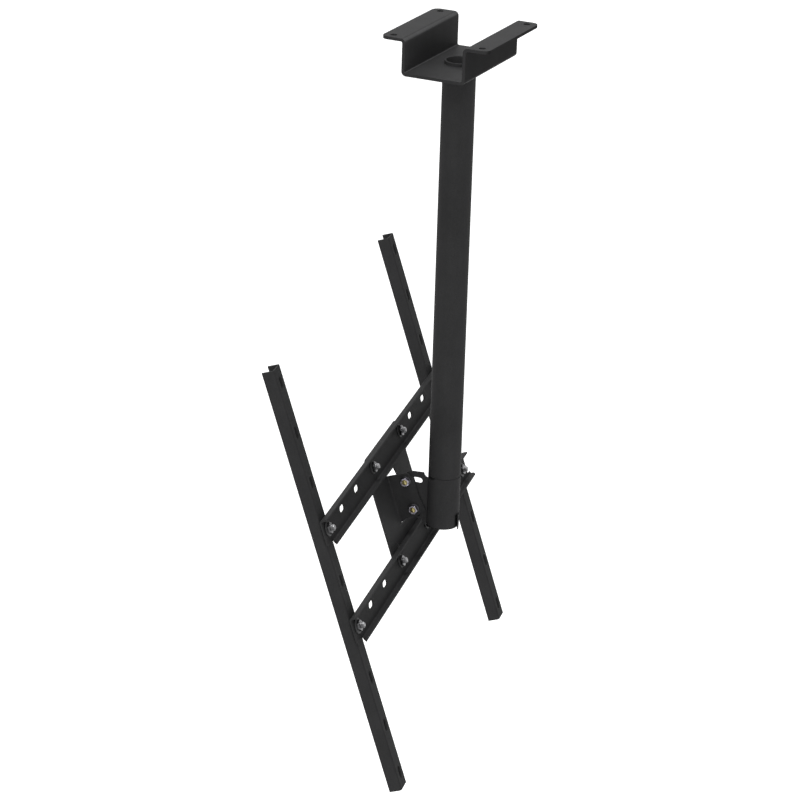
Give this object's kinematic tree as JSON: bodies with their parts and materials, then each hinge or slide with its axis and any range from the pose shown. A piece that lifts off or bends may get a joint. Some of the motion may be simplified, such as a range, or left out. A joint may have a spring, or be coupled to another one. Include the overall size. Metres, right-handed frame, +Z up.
{
  "type": "tv ceiling mount",
  "caption": "Ceiling mount for a flat screen: folded ceiling bracket, straight pole, swivel knuckle and a tilting frame of channel rails and slotted uprights.",
  "frame": {"origin": "on the pole's axis in the plane of the ceiling, the top of the bracket's flanges", "axes": "+Z up, out of the bracket into the ceiling; X across the bracket's channel, Y along it; at rest the rails run 10.98 degrees off Y and the frame tilts 18.03 degrees"},
  "size_m": [0.2214, 0.4494, 0.6915],
  "materials": {
    "black_coat": "fine satin black powder coat",
    "zinc": "bright zinc plate",
    "bolt_steel": "yellow passivated zinc"
  },
  "bodies": {
    "ceiling_mount": {"ceiling_bracket": "black_coat", "pole_tube": "black_coat", "neck_tube": "black_coat"},
    "swivel_arm": {"swivel_knuckle": "black_coat", "pivot_bolt": "bolt_steel", "pivot_washers": "zinc", "pivot_nut": "zinc"},
    "tilt_frame": {"tilt_plate": "black_coat", "upper_rail": "black_coat", "lower_rail": "black_coat", "near_upright": "black_coat", "far_upright": "black_coat", "plate_bolts": "zinc", "plate_washers": "black_coat", "plate_nuts": "zinc", "upright_bolts": "zinc", "upright_washers": "black_coat", "upright_nuts": "zinc", "lock_bolt": "bolt_steel", "lock_washers": "zinc", "lock_nut": "zinc"}
  },
  "joints": [
    {"name": "swivel", "type": "hinge", "parent": "ceiling_mount", "child": "swivel_arm", "pos_m": [0, 0, -0.475], "axis": [0, 0, 1], "continuous": true},
    {"name": "tilt", "type": "hinge", "parent": "swivel_arm", "child": "tilt_frame", "pos_m": [-0.02559, -0.01311, -0.48564], "axis": [-0.1905, 0.9817, 0], "range_deg": [0, 25]}
  ]
}
